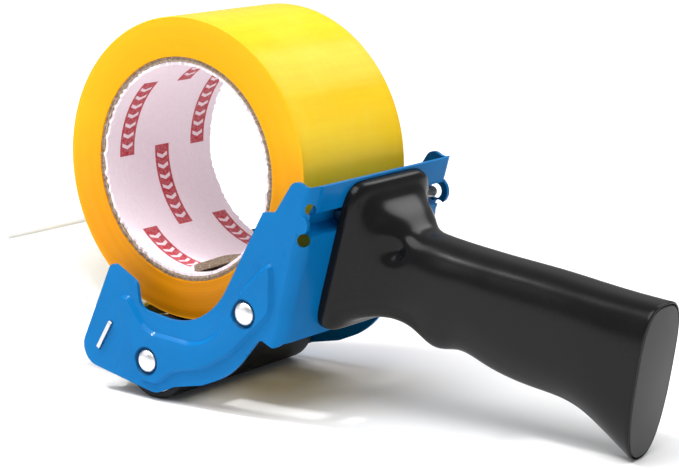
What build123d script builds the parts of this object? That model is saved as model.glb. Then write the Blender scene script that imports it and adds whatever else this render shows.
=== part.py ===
"""Hand-held packing tape dispenser with a cradle for the roll, in millimetres.

Frame of the part: +X runs from the nose to the handle's end, +Y across, +Z up. The origin is
under the middle of the whole object, on the surface that it stands on. Profiles seen from the
side are drawn about the tape roll's axis: (a, b) is a mm behind the axis and b mm above it.
"""

import math
import os

from build123d import *

os.makedirs("parts", exist_ok=True)

# ---- driving dimensions ---------------------------------------------------------------------
SHEET = 1.5  # thickness of the frame's steel sheet
FRAME_WIDTH = 83.0  # outside of one side plate to the outside of the other
BEND = 4.5  # outer radius of the two bends behind the roll
FRAME_LEAN = 16.0  # degrees that the back plate leans from the vertical
EMBOSS = 1.4  # height of the stiffening panel pressed out of each side plate

TAPE_R = 55.5  # outside of the wound tape
TAPE_WIDTH = 60.0
CORE_R = 41.1  # outside of the cardboard core
LINER_R = 38.4  # inside of the cardboard, where the printed paper starts
BORE_R = 38.1  # a 3 inch (76.2 mm) core
FILM = 0.25  # drawn thickness of one layer of tape

ROLLER_R = 15.0  # rubber roller at the nose
ROLLER_LENGTH = 76.0
SLEEVE_R = 3.6  # thin tube under the back of the roll
NIP_GAP = 0.35  # running gap between the roll and what it rests on
FIT = 0.05  # radial clearance of a shaft in its hole

HANDLE_WALL = 2.6

FRONT_PIN_R = 3.0
REAR_PIN_R = 2.5

HALF = FRAME_WIDTH / 2
INSIDE = HALF - SHEET

# ---- the roll's axis, the two axles under it --------------------------------------------------
FRONT_AXLE_BEHIND = -9.0  # the roller's axle is a little ahead of the roll's axis
REAR_AXLE_BEHIND = 37.6
front_reach = TAPE_R + ROLLER_R + NIP_GAP
rear_reach = TAPE_R + SLEEVE_R + NIP_GAP
FRONT_AXLE = (FRONT_AXLE_BEHIND, -math.sqrt(front_reach**2 - FRONT_AXLE_BEHIND**2))
REAR_AXLE = (REAR_AXLE_BEHIND, -math.sqrt(rear_reach**2 - REAR_AXLE_BEHIND**2))
ROLL_X = -46.7
ROLL_Z = ROLLER_R - FRONT_AXLE[1]
FLOOR = -ROLL_Z  # height of the surface that it stands on, from the roll's axis


def side(y=0.0):
    """The side view about the roll's axis, at a given y. Extruding goes towards -Y."""
    return Plane(origin=(ROLL_X, y, ROLL_Z), x_dir=(1, 0, 0), z_dir=(0, -1, 0))


def place(a, b, y=0.0):
    """A point a mm behind and b mm above the roll's axis, in the part's frame."""
    return Vector(ROLL_X + a, y, ROLL_Z + b)


def finish(piece, name):
    """Names a finished piece and writes its STEP file."""
    piece.part.label = name
    export_step(piece.part, f"parts/{name}.step")


# ---- back plate: a line from its foot upwards, and the direction out of its rear face -----------
FOOT = (53.7, -54.6)
BACK_HEIGHT = 58.9
up_a = math.sin(math.radians(FRAME_LEAN))
up_b = math.cos(math.radians(FRAME_LEAN))


def back(s, off=0.0):
    """Side-view point s mm up the back plate's rear face and off mm out of it."""
    return (FOOT[0] + s * up_a + off * up_b, FOOT[1] + s * up_b - off * up_a)


def back_plane(s=0.0, off=0.0, y=0.0):
    """The back plate's rear face: local X across the object, local Y up the plate, normal out of it."""
    a, b = back(s, off)
    return Plane(origin=place(a, b, y), x_dir=(0, 1, 0), z_dir=(up_b, 0, -up_a))


# ---- frame --------------------------------------------------------------------------------------
# Outline of a side plate: corner and its radius, clockwise from the tip of the nose.
OUTLINE = [
    ((-26.0, -34.9), 2.8),
    ((-13.6, -41.6), 3.5),
    ((-12.6, -51.1), 5.0),
    ((18.9, -55.9), 29.0),
    ((46.3, -8.7), 1.2),
    ((51.6, -8.3), 2.2),
    ((60.4, 4.3), 3.6),
    ((65.6, 1.6), 4.0),
    (back(BACK_HEIGHT, -1.0), 0.4),
    (back(BACK_HEIGHT, 9.0), 0.4),
    (back(-0.7, 9.0), 0.4),
    (back(-0.7, -1.0), 0.8),
    ((50.2, -57.2), 2.2),
    ((43.8, -54.3), 2.6),
    ((30.5, -69.9), 34.0),
    ((17.0, -75.5), 10.0),
    ((3.6, -78.2), 8.0),
    ((-5.6, -82.2), 9.0),
    ((-44.7, -74.1), 7.5),
]
# Outline of the panel pressed out of each side plate: it follows the cradle and holds both axles.
PANEL = [
    ((-22.8, -47.0), 2.0),
    ((-17.2, -46.8), 2.0),
    ((-8.5, -58.6), 8.0),
    ((20.5, -60.8), 20.0),
    ((38.0, -35.4), 8.0),
    ((50.6, -24.5), 1.8),
    ((50.0, -44.5), 8.0),
    ((30.5, -62.6), 26.0),
    ((17.5, -69.8), 12.0),
    ((4.0, -72.8), 10.0),
    ((-4.5, -78.6), 6.0),
    ((-13.0, -78.4), 4.0),
]
PRESS_WALL = 1.4  # width of the sheet that slopes between two levels
AXLE_DIMPLE_R = 5.5
AXLE_DIMPLE = 1.2  # depth of the recess in that panel around each axle
LOCK_PIN_AT = (62.3, -11.4)
LOCK_PIN_R = 2.05
EAR_R = 5.4  # rounded ear round the pin's hole, on the far side plate
NEAR_EAR_R = 3.4  # the near side plate only bulges a little there
EAR_HOLE_R = 2.9
CHANNEL = (40.2, 49.2)  # span of the channel pressed across the back plate, up the plate
CHANNEL_DEPTH = 6.0
SCREW_AT = 13.0  # height of the two handle screws up the back plate
SCREW_Y = 14.0
SCREW_HOLE_R = 2.2
BLANK_DEPTH = 130.0  # the U of sheet before it is cut to the outline, nose to back
BLANK_BELOW = 60.0  # how far it starts below the foot of the back plate
BLANK_LENGTH = 129.0
RELIEF_R = (2.0, 2.3)  # relief holes above and below the channel's ends
RELIEF_DEEP = 12.0  # they run in, and a little down, through the ends of the channel as well

# The blade bracket runs across the nose. u goes down along it, m goes out of its front face.
BRACKET_AT = (-30.25, -63.5)
BRACKET_LEAN = 58.1
down_a = -math.cos(math.radians(BRACKET_LEAN))
down_b = -math.sin(math.radians(BRACKET_LEAN))
TAB_HALF = 6.4
SLOT_PLAY = 0.2


def bracket(u, m=0.0):
    """Side-view point u mm down the bracket and m mm out of its middle plane, to the front."""
    return (BRACKET_AT[0] + u * down_a + m * down_b, BRACKET_AT[1] + u * down_b - m * down_a)


def bracket_strip(u0, u1, m0, m1):
    """Corners of a flat strip on the bracket, in the side view."""
    return [bracket(u0, m0), bracket(u1, m0), bracket(u1, m1), bracket(u0, m1)]


def rounded(corners):
    """The edges of a closed outline of straight runs, each corner with its own radius."""
    with BuildLine() as outline:
        FilletPolyline(*[c[0] for c in corners], radius=[c[1] for c in corners], close=True)
    return outline.edges()


with BuildPart() as frame:
    # a U of sheet that runs up along the back plate, cut to the side plates' outline
    section = Plane(origin=place(*back(-BLANK_BELOW)), x_dir=(up_b, 0, -up_a), z_dir=(up_a, 0, up_b))
    with BuildSketch(section):
        with Locations((-BLANK_DEPTH / 2, 0)):
            Rectangle(BLANK_DEPTH, FRAME_WIDTH)
        fillet(vertices().group_by(Axis.X)[-1], BEND)
        with BuildSketch(section, mode=Mode.PRIVATE) as hollow:
            with Locations((-BLANK_DEPTH / 2 - SHEET, 0)):
                Rectangle(BLANK_DEPTH, 2 * INSIDE)
            fillet(hollow.vertices().group_by(Axis.X)[-1], BEND - SHEET)
        add(hollow.sketch_local, mode=Mode.SUBTRACT)
    extrude(amount=BLANK_LENGTH)
    with BuildSketch(side()):
        make_face(rounded(OUTLINE))
    extrude(amount=HALF, both=True, mode=Mode.INTERSECT)

    # the channel across the back plate that takes the handle's lugs and their pin
    low, high = CHANNEL
    with BuildSketch(back_plane((low + high) / 2, 1)):
        Rectangle(2 * INSIDE, high - low)
    extrude(amount=-BEND - 2, mode=Mode.SUBTRACT)
    with BuildSketch(side()):
        with BuildLine():
            Polyline(
                back(low - 1), back(low), back(low + 1.4, -CHANNEL_DEPTH),
                back(high - 1.4, -CHANNEL_DEPTH), back(high), back(high + 1),
                back(high + 1, -SHEET), back(high + 0.9, -SHEET),
                back(high - 0.1, -CHANNEL_DEPTH - SHEET),
                back(low + 0.1, -CHANNEL_DEPTH - SHEET), back(low - 0.9, -SHEET),
                back(low - 1, -SHEET), close=True,
            )
        make_face()
    extrude(amount=INSIDE - 2.0, both=True)
    for y, radius in ((-INSIDE, NEAR_EAR_R), (HALF, EAR_R)):
        with BuildSketch(side(y)):
            with Locations(LOCK_PIN_AT):
                Circle(radius)
        extrude(amount=SHEET)
    # relief holes at the two ends of the channel, in the bends
    for y_way in (-1, 1):
        for s, radius in zip((high + 1.2, low - 1.4), RELIEF_R):
            a, b = back(s, -1.2)
            relief = Plane(origin=place(a, b, y_way * (HALF - 1.2)), z_dir=(1, 1.2 * y_way, 0.3))
            with BuildSketch(relief.offset(-RELIEF_DEEP)):
                Circle(radius)
            extrude(amount=2 * RELIEF_DEEP, mode=Mode.SUBTRACT)
    # the access hole for the pin, in the far ear only
    with BuildSketch(side(HALF + 1)):
        with Locations(LOCK_PIN_AT):
            Circle(EAR_HOLE_R)
    extrude(amount=SHEET + 2, mode=Mode.SUBTRACT)

    # stiffening panels, pressed outwards, flat again around each axle
    for y_way in (-1, 1):
        outer = side(y_way * HALF)
        inner = side(y_way * INSIDE)
        with BuildSketch(outer):
            make_face(rounded(PANEL))
        extrude(amount=-y_way * EMBOSS, taper=40)
        with BuildSketch(inner):
            make_face(rounded(PANEL))
            offset(amount=-PRESS_WALL)
            with Locations(FRONT_AXLE, REAR_AXLE):
                Circle(AXLE_DIMPLE_R + PRESS_WALL, mode=Mode.SUBTRACT)
        extrude(amount=-y_way * EMBOSS, mode=Mode.SUBTRACT)
        with BuildSketch(side(y_way * (HALF + EMBOSS))):
            with Locations(FRONT_AXLE, REAR_AXLE):
                Circle(AXLE_DIMPLE_R)
        extrude(amount=y_way * AXLE_DIMPLE, taper=35, mode=Mode.SUBTRACT)

    # axle holes, slots for the bracket's tabs, holes for the handle screws
    with BuildSketch(side()):
        with Locations(FRONT_AXLE):
            Circle(FRONT_PIN_R + FIT)
        with Locations(REAR_AXLE):
            Circle(REAR_PIN_R + FIT)
        with BuildLine():
            tab = TAB_HALF + SLOT_PLAY
            slot = SHEET / 2 + SLOT_PLAY
            Polyline(*bracket_strip(-tab, tab, -slot, slot), close=True)
        make_face()
    extrude(amount=HALF + 2 * EMBOSS, both=True, mode=Mode.SUBTRACT)
    with BuildSketch(back_plane(SCREW_AT, 1)):
        with Locations((-SCREW_Y, 0), (SCREW_Y, 0)):
            Circle(SCREW_HOLE_R)
    extrude(amount=-SHEET - 2, mode=Mode.SUBTRACT)
finish(frame, "frame")

# ---- the two axles, riveted over outside the side plates ----------------------------------------
SEAT = HALF + EMBOSS - AXLE_DIMPLE  # outer face of the sheet around an axle
HEAD_R = 4.2
HEAD_HEIGHT = 1.9


def axle_plane(at):
    """A plane through an axle: local X along the axle, local Y up."""
    return Plane(origin=place(*at), x_dir=(0, 1, 0), z_dir=(1, 0, 0))


def tube(at, outer, inner, y0, y1):
    """A plain ring about an axle, between two y positions."""
    with BuildPart() as ring:
        with BuildSketch(side(max(y0, y1))):
            with Locations(at):
                Circle(outer)
                Circle(inner, mode=Mode.SUBTRACT)
        extrude(amount=abs(y1 - y0))
    return ring.part


def riveted_axle(at, radius):
    """A round bar across both side plates, with a domed head outside each of them."""
    with BuildPart() as axle:
        with BuildSketch(side(SEAT)):
            with Locations(at):
                Circle(radius)
        extrude(amount=2 * SEAT)
        with BuildSketch(axle_plane(at)):
            with BuildLine():
                tip = SEAT + HEAD_HEIGHT
                Line((SEAT, 0), (tip, 0))
                ThreePointArc((tip, 0), (SEAT + 0.8 * HEAD_HEIGHT, 0.55 * HEAD_R), (SEAT + 0.45, HEAD_R))
                Polyline((SEAT + 0.45, HEAD_R), (SEAT, HEAD_R), (SEAT, 0))
            make_face()
        revolve(axis=Axis(place(*at), (0, 1, 0)))
        mirror(about=Plane.XZ)
    return axle


front_axle = riveted_axle(FRONT_AXLE, FRONT_PIN_R)
finish(front_axle, "front_axle")

rear_axle = riveted_axle(REAR_AXLE, REAR_PIN_R)
finish(rear_axle, "rear_axle")

# ---- rubber roller: rubber sleeve on a plastic tube, with a flanged bush in each end ------------
RUBBER = 2.6
CORE_WALL = 2.2
FLANGE = 1.4
roller_half = ROLLER_LENGTH / 2
tube_r = ROLLER_R - RUBBER
hub_r = tube_r - CORE_WALL
with BuildPart() as front_roller_sleeve:
    add(tube(FRONT_AXLE, ROLLER_R, tube_r, -roller_half, roller_half))
    fillet(front_roller_sleeve.edges().filter_by(GeomType.CIRCLE).sort_by(SortBy.RADIUS)[-2:], 0.6)
finish(front_roller_sleeve, "front_roller_sleeve")

with BuildPart() as front_roller_core:
    add(tube(FRONT_AXLE, tube_r, hub_r, -roller_half + FLANGE, roller_half - FLANGE))
finish(front_roller_core, "front_roller_core")

with BuildPart() as front_roller_bushes:
    for y_way in (-1, 1):
        face_y = y_way * roller_half
        step_y = y_way * (roller_half - FLANGE)
        deep_y = y_way * (roller_half - 9)
        add(tube(FRONT_AXLE, tube_r, FRONT_PIN_R + FIT, face_y, step_y))
        add(tube(FRONT_AXLE, hub_r, hub_r - 1.8, step_y, deep_y))
        add(tube(FRONT_AXLE, FRONT_PIN_R + 1.6, FRONT_PIN_R + FIT, step_y, deep_y))
        with BuildSketch(side(max(step_y, deep_y))):
            with Locations(FRONT_AXLE):
                with PolarLocations((hub_r + FRONT_PIN_R) / 2, 4):
                    Rectangle(hub_r - FRONT_PIN_R - 2, 1.4)
        extrude(amount=abs(deep_y - step_y))
finish(front_roller_bushes, "front_roller_bushes")

with BuildPart() as front_spacers:
    for y_way in (-1, 1):
        add(tube(FRONT_AXLE, 5.0, FRONT_PIN_R, y_way * (roller_half + 0.15), y_way * INSIDE))
finish(front_spacers, "front_spacers")

with BuildPart() as rear_roller:
    add(tube(REAR_AXLE, SLEEVE_R, REAR_PIN_R + FIT, -INSIDE + 0.6, INSIDE - 0.6))
finish(rear_roller, "rear_roller")

# ---- blade bracket, blade, and the wiper flap clamped to the bracket ----------------------------
BRACKET_HALF = 10.85
BRACKET_THICK = 1.5
BLADE_THICK = 0.5
BLADE_TOP = -3.5
TOOTH_ROOT = 12.4
TOOTH_TIP = 13.7
BLADE_SPAN = 66.0
TEETH = 44
RIVETS = [(-24, 0), (0, 0), (24, 0)]  # three rivets hold blade, bracket, flap and strip together
RIVET_R = 1.6
RIVET_HEAD_R = 2.7
half_bracket = BRACKET_THICK / 2


def bracket_face(m=0.0):
    """A plane on the bracket: local X across the object, local Y down the bracket, normal to the rear."""
    return Plane(origin=place(*bracket(0, m)), x_dir=(0, -1, 0), z_dir=(-down_b, 0, down_a))


with BuildPart() as blade_bracket:
    with BuildSketch(bracket_face(half_bracket)):
        Rectangle(2 * INSIDE - 0.3, 2 * BRACKET_HALF)
        fillet(vertices(), 1.5)
        Rectangle(2 * (HALF + 1.0), 2 * TAB_HALF)
        fillet(vertices().sort_by(Axis.X)[:2] + vertices().sort_by(Axis.X)[-2:], 0.7)
    extrude(amount=BRACKET_THICK)
    with BuildSketch(bracket_face(half_bracket + 1)):
        with Locations(*RIVETS):
            Circle(RIVET_R)
    extrude(amount=BRACKET_THICK + 2, mode=Mode.SUBTRACT)
finish(blade_bracket, "blade_bracket")

# The blade lies on the bracket's rear face: a strip whose lower edge is a row of teeth.
tooth = BLADE_SPAN / TEETH
teeth_points = [
    (-BLADE_SPAN / 2 + k * tooth / 2, TOOTH_TIP if k % 2 else TOOTH_ROOT) for k in range(2 * TEETH + 1)
]
with BuildPart() as cutting_blade:
    with BuildSketch(bracket_face(-half_bracket)):
        with BuildLine():
            Polyline((-BLADE_SPAN / 2, BLADE_TOP), *teeth_points, (BLADE_SPAN / 2, BLADE_TOP), close=True)
        make_face()
        with Locations(*RIVETS):
            Circle(RIVET_R, mode=Mode.SUBTRACT)
    extrude(amount=BLADE_THICK)
finish(cutting_blade, "cutting_blade")

# The flap: a thin sheet from a bead at its free edge back to a clamped foot on the bracket.
FLAP_HALF = 36.0
FLAP_THICK = 0.8
BEAD = (-86.9, -34.2)
BEAD_R = 1.8
FLAP_HINGE = (-30.7, -57.9)
FLAP_GAP = 0.3  # gap between the moving sheet and its clamped foot
FOOT_END = 4.5  # how far the clamped foot reaches down the bracket
STRIP_THICK = 1.2
STRIP_WIDTH = 6.6
STRIP_AT = 1.2  # its middle, down the bracket
flap_length = math.dist(BEAD, FLAP_HINGE)
out_a = (BEAD[0] - FLAP_HINGE[0]) / flap_length
out_b = (BEAD[1] - FLAP_HINGE[1]) / flap_length


def flap(t, off=0.0):
    """Side-view point t mm out along the flap from its bending line and off mm above it."""
    return (FLAP_HINGE[0] + t * out_a + off * out_b, FLAP_HINGE[1] + t * out_b - off * out_a)


half_flap = FLAP_THICK / 2
with BuildPart() as wiper_flap:
    with BuildSketch(side()):
        with BuildLine():
            corners = [flap(0, -half_flap), flap(0, half_flap), flap(flap_length, half_flap)]
            Polyline(*corners, flap(flap_length, -half_flap), close=True)
        make_face()
        with Locations(BEAD):
            Circle(BEAD_R)
    extrude(amount=FLAP_HALF, both=True)
finish(wiper_flap, "wiper_flap")

# its clamped foot: the sheet goes on to the bracket and turns down along it
flap_face = half_bracket + FLAP_THICK
meet = -3.5  # where the flap's line reaches the bracket, down the bracket from its middle
with BuildPart() as flap_foot:
    with BuildSketch(side()):
        with BuildLine():
            Polyline(
                flap(-FLAP_GAP, half_flap), flap(-FLAP_GAP, -half_flap),
                bracket(meet - 0.9, flap_face + 0.2), bracket(meet + 0.2, flap_face),
                bracket(FOOT_END, flap_face), bracket(FOOT_END, half_bracket),
                bracket(meet - 2.2, half_bracket), bracket(meet - 2.2, half_bracket + 0.4), close=True,
            )
        make_face()
    extrude(amount=FLAP_HALF, both=True)
    with BuildSketch(bracket_face(half_bracket + 2)):
        with Locations(*RIVETS):
            Circle(RIVET_R)
    extrude(amount=3, mode=Mode.SUBTRACT)
finish(flap_foot, "flap_foot")

with BuildPart() as clamp_strip:
    with BuildSketch(bracket_face(flap_face + STRIP_THICK)):
        with Locations((0, STRIP_AT)):
            Rectangle(2 * FLAP_HALF, STRIP_WIDTH)
            fillet(vertices(), 1)
        with Locations(*RIVETS):
            Circle(RIVET_R, mode=Mode.SUBTRACT)
    extrude(amount=STRIP_THICK)
finish(clamp_strip, "clamp_strip")

stack_front = flap_face + STRIP_THICK
stack_rear = half_bracket + BLADE_THICK
with BuildPart() as bracket_rivets:
    with BuildSketch(bracket_face(stack_front)):
        with Locations(*RIVETS):
            Circle(RIVET_R)
    extrude(amount=stack_front + stack_rear)
    for plane, rise in ((bracket_face(stack_front), -1), (bracket_face(-stack_rear), 1)):
        with BuildSketch(plane):
            with Locations(*RIVETS):
                Circle(RIVET_HEAD_R)
        extrude(amount=rise, taper=35)
finish(bracket_rivets, "bracket_rivets")

# ---- handle: a hollow moulding lofted from its flange on the back plate to its open end ----------
# Stations: bottom point, top point, half width, squareness, where it is widest (0 foot, 1 top).
STATIONS = [
    (back(1.3), back(58.0), 24.0, 7.0, 0.5),
    (back(1.1, 3.4), back(57.2, 3.4), 23.8, 6.0, 0.5),
    ((60.4, -52.4), (73.9, -5.0), 22.2, 4.6, 0.5),
    ((67.2, -50.2), (79.6, -10.8), 18.6, 3.3, 0.5),
    ((74.4, -50.1), (85.2, -16.2), 14.9, 2.6, 0.55),
    ((83.6, -53.2), (92.2, -18.5), 12.8, 2.3, 0.6),
    ((92.3, -58.4), (99.6, -19.7), 12.5, 2.25, 0.62),
    ((101.5, -58.0), (108.0, -21.0), 12.5, 2.25, 0.63),
    ((113.0, -61.3), (120.0, -22.6), 12.5, 2.3, 0.63),
    ((134.2, -66.5), (141.0, -25.1), 12.7, 2.4, 0.62),
    ((151.5, -70.4), (158.6, -27.8), 12.9, 2.5, 0.61),
    ((162.5, -77.4), (170.6, -29.3), 12.9, 2.55, 0.6),
    ((172.7, FLOOR), (181.8, -30.4), 12.9, 2.6, 0.6),
]
TOP_SQUARER = 0.5  # added to the squareness above the widest line
SECTION_POINTS = 32


def section(station, inset=0.0):
    """One closed cross-section of the handle, inset all round, on its own plane."""
    (a0, b0), (a1, b1), half_width, square, widest = station
    height = math.dist((a0, b0), (a1, b1))
    across, foot, top = half_width - inset, widest * height - inset, (1 - widest) * height - inset
    points = []
    for k in range(SECTION_POINTS):
        turn = 2 * math.pi * k / SECTION_POINTS
        c, s = math.cos(turn), math.sin(turn)
        power = square + TOP_SQUARER if s > 0 else square
        reach = (abs(c) ** power + abs(s) ** power) ** (-1 / power)
        points.append((across * reach * c, (top if s > 0 else foot) * reach * s))
    centre = place(a0 + widest * (a1 - a0), b0 + widest * (b1 - b0))
    plane = Plane(origin=centre, x_dir=(0, 1, 0), z_dir=(b1 - b0, 0, a0 - a1))
    with BuildSketch(plane) as ring:
        with BuildLine():
            Spline(*points, periodic=True)
        make_face()
    return ring.sketch


MOUTH = STATIONS[-1]
LUG_HALF = 22.0
CAP_RIM = 1.0  # width of the shell's lip left around the end cap
CAP_THICK = 2.0
CAP_PROUD = 0.3
CAP_GROOVE = 0.2  # gap between the cap's edge and that lip
SPIGOT_INSET = 3.4  # the cap's spigot, in from the shell's inner wall
SPIGOT_DEEP = 4.2
SPIGOT_WALL = 1.6
SCREW_R = 2.0
SCREW_DEEP = 5.5  # length of a screw inside the handle
SCREW_HEAD_R = 3.6
SCREW_HEAD = 2.0
with BuildPart() as handle_shell:
    loft(sections=[section(s) for s in STATIONS])
    loft(sections=[section(s, HANDLE_WALL) for s in STATIONS[2:]], mode=Mode.SUBTRACT)
    # the lug that fills the middle of the back plate's channel, bored for the lock pin
    with BuildSketch(side()):
        with BuildLine():
            Polyline(
                back(low + 0.5, 1.5), back(low + 0.5), back(low + 1.7, -CHANNEL_DEPTH + 0.3),
                back(high - 1.7, -CHANNEL_DEPTH + 0.3), back(high - 0.5), back(high - 0.5, 1.5), close=True,
            )
        make_face()
    extrude(amount=LUG_HALF, both=True)
    with BuildSketch(side(LUG_HALF + 4)):
        with Locations(LOCK_PIN_AT):
            Circle(LOCK_PIN_R)
    extrude(amount=2 * LUG_HALF + 2, mode=Mode.SUBTRACT)
    # blind holes in its foot for the two screws, and the seat of the end cap
    with BuildSketch(back_plane(SCREW_AT)):
        with Locations((-SCREW_Y, 0), (SCREW_Y, 0)):
            Circle(SCREW_R)
    extrude(amount=SCREW_DEEP, mode=Mode.SUBTRACT)
    extrude(section(MOUTH, CAP_RIM - CAP_GROOVE), amount=-(CAP_THICK - CAP_PROUD), mode=Mode.SUBTRACT)
finish(handle_shell, "handle_shell")

with BuildPart() as handle_end_cap:
    extrude(section(MOUTH, CAP_RIM), amount=CAP_PROUD)
    extrude(section(MOUTH, CAP_RIM), amount=-(CAP_THICK - CAP_PROUD))
    extrude(section(MOUTH, HANDLE_WALL + SPIGOT_INSET), amount=-SPIGOT_DEEP)
    extrude(section(MOUTH, HANDLE_WALL + SPIGOT_INSET + SPIGOT_WALL), amount=-5, mode=Mode.SUBTRACT)
    extrude(section(MOUTH, HANDLE_WALL), amount=-(CAP_THICK - CAP_PROUD))
finish(handle_end_cap, "handle_end_cap")

PIN_END = INSIDE - 1.2
with BuildPart() as handle_lock_pin:
    with BuildSketch(side(PIN_END)):
        with Locations(LOCK_PIN_AT):
            Circle(LOCK_PIN_R)
    extrude(amount=PIN_END + LUG_HALF - 2)
    chamfer(handle_lock_pin.edges().filter_by(GeomType.CIRCLE), 0.5)
finish(handle_lock_pin, "handle_lock_pin")

with BuildPart() as handle_screws:
    for y in (-SCREW_Y, SCREW_Y):
        with BuildSketch(back_plane(SCREW_AT, SCREW_DEEP, y)):
            Circle(SCREW_R)
        extrude(amount=-SCREW_DEEP - SHEET)
        with BuildSketch(back_plane(SCREW_AT, -SHEET, y)):
            Circle(SCREW_HEAD_R)
        extrude(amount=-SCREW_HEAD, taper=20)
        with BuildSketch(back_plane(SCREW_AT, -SHEET - SCREW_HEAD, y)):
            Rectangle(3.2, 0.9)
            Rectangle(0.9, 3.2)
        extrude(amount=1.0, mode=Mode.SUBTRACT)
finish(handle_screws, "handle_screws")

# ---- the roll of tape ----------------------------------------------------------------------------
half_tape = TAPE_WIDTH / 2
AXIS = (0.0, 0.0)
with BuildPart() as tape_wound:
    add(tube(AXIS, TAPE_R, CORE_R, -half_tape, half_tape))
finish(tape_wound, "tape_wound")

with BuildPart() as tape_core:
    add(tube(AXIS, CORE_R, LINER_R, -half_tape, half_tape))
finish(tape_core, "tape_core")

with BuildPart() as core_liner:
    add(tube(AXIS, LINER_R, BORE_R, -half_tape, half_tape))
finish(core_liner, "core_liner")

# The free end of the tape: round the front of the rubber roller, then straight on to the blade.
LEAD_R = ROLLER_R + 0.2
LEAD_FROM = 97.0  # degrees round the roller from straight back, where the tape has left the roll
LEAD_TO = 135.0  # where it leaves the roller
LEAD_LENGTH = 24.6


def polar(radius, degrees):
    """Side-view point about the roller's axle."""
    turn = math.radians(degrees)
    return (FRONT_AXLE[0] + radius * math.cos(turn), FRONT_AXLE[1] + radius * math.sin(turn))


with BuildPart() as tape_leader:
    inner_r, outer_r, middle = LEAD_R, LEAD_R + FILM, (LEAD_FROM + LEAD_TO) / 2
    heading = math.radians(LEAD_TO + 90)
    run_a, run_b = LEAD_LENGTH * math.cos(heading), LEAD_LENGTH * math.sin(heading)
    leave_in, leave_out = polar(inner_r, LEAD_TO), polar(outer_r, LEAD_TO)
    end_in = (leave_in[0] + run_a, leave_in[1] + run_b)
    end_out = (leave_out[0] + run_a, leave_out[1] + run_b)
    with BuildSketch(side()):
        with BuildLine():
            ThreePointArc(polar(inner_r, LEAD_FROM), polar(inner_r, middle), leave_in)
            Polyline(leave_in, end_in, end_out, leave_out)
            ThreePointArc(leave_out, polar(outer_r, middle), polar(outer_r, LEAD_FROM))
            Line(polar(outer_r, LEAD_FROM), polar(inner_r, LEAD_FROM))
        make_face()
    extrude(amount=half_tape, both=True)
finish(tape_leader, "tape_leader")
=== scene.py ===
"""Looks for a hand-held packing tape dispenser: a roll of tape lying in a pressed steel cradle.

Lengths are in metres. Shapes seen from the side are drawn in millimetres about the roll's axis:
(a, b) is a mm behind the axis and b mm above it, and at() puts such points into the row's frame.
"""

import math

import bmesh
import bpy
import numpy as np
from bpy.props import FloatProperty, FloatVectorProperty, IntProperty, PointerProperty
from mathutils import Matrix, Vector


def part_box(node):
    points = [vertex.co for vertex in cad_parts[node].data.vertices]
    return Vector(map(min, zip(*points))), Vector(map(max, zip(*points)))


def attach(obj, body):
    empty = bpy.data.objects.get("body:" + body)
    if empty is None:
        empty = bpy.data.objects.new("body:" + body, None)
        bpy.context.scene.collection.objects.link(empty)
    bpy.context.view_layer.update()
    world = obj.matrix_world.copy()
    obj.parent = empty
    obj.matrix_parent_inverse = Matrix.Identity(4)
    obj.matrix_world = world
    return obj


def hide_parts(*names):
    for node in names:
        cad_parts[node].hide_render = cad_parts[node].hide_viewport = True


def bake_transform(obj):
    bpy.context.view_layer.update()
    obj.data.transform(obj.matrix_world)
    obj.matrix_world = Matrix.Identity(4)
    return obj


bl_info = {
    "name": "Packing tape dispenser",
    "version": (1, 0, 0),
    "blender": (4, 5, 0),
    "location": "View3D > Sidebar > Dispenser",
    "description": "Builds the dispenser's visible pieces and their finishes",
    "category": "Add Mesh",
}

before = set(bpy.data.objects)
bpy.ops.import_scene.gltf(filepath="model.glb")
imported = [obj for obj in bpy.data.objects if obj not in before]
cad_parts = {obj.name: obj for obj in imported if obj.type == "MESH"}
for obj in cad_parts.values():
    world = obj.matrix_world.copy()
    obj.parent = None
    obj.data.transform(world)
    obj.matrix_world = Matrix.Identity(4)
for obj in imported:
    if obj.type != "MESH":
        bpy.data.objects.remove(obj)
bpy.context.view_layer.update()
MM = 0.001


def middle(node):
    """Centre of a node's box."""
    low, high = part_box(node)
    return (low + high) / 2


def radius_of(node, centre):
    """Outer radius of a node round an axis along Y, in mm."""
    return (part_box(node)[1].x - centre.x) / MM


def half_of(node):
    """Half the width of a node across the object, in mm."""
    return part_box(node)[1].y / MM


ROLL = middle("tape_wound")
FRONT = middle("front_roller_sleeve")
REAR = middle("rear_roller")
PIN = middle("handle_lock_pin")
TAPE_R = radius_of("tape_wound", ROLL)
CORE_R = radius_of("tape_core", ROLL)
TAPE_HALF = half_of("tape_wound")
ROLLER_R = radius_of("front_roller_sleeve", FRONT)
BORE_R = 38.1  # the core's open bore
DIMPLE_R = 5.5  # recess pressed round each axle
PLATE_INSIDE = 0.04  # metres from the middle to the inner face of a side plate
LINING_R = radius_of("core_liner", ROLL) + 0.8  # drawn thicker than its solid, so its torn edges show
LEAN = math.radians(16.0)  # lean of the back plate from the vertical


def at(points, y=0.0):
    """Side-view points (n, 2) in mm about the roll's axis, at y mm across, as row-frame metres."""
    points = np.asarray(points, float).reshape(-1, 2)
    across = np.broadcast_to(np.asarray(y) * MM, len(points))
    return np.stack([ROLL.x + points[:, 0] * MM, across, ROLL.z + points[:, 1] * MM], 1)


def round_axis(axis_at, angle, radius, across):
    """Points radius mm from an axis along Y through axis_at, at an angle about it, across mm along it."""
    angle, radius, across = np.broadcast_arrays(angle, radius, across)
    x = axis_at.x + MM * radius * np.cos(angle)
    z = axis_at.z + MM * radius * np.sin(angle)
    return np.stack([x, MM * across, z], -1)


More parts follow.
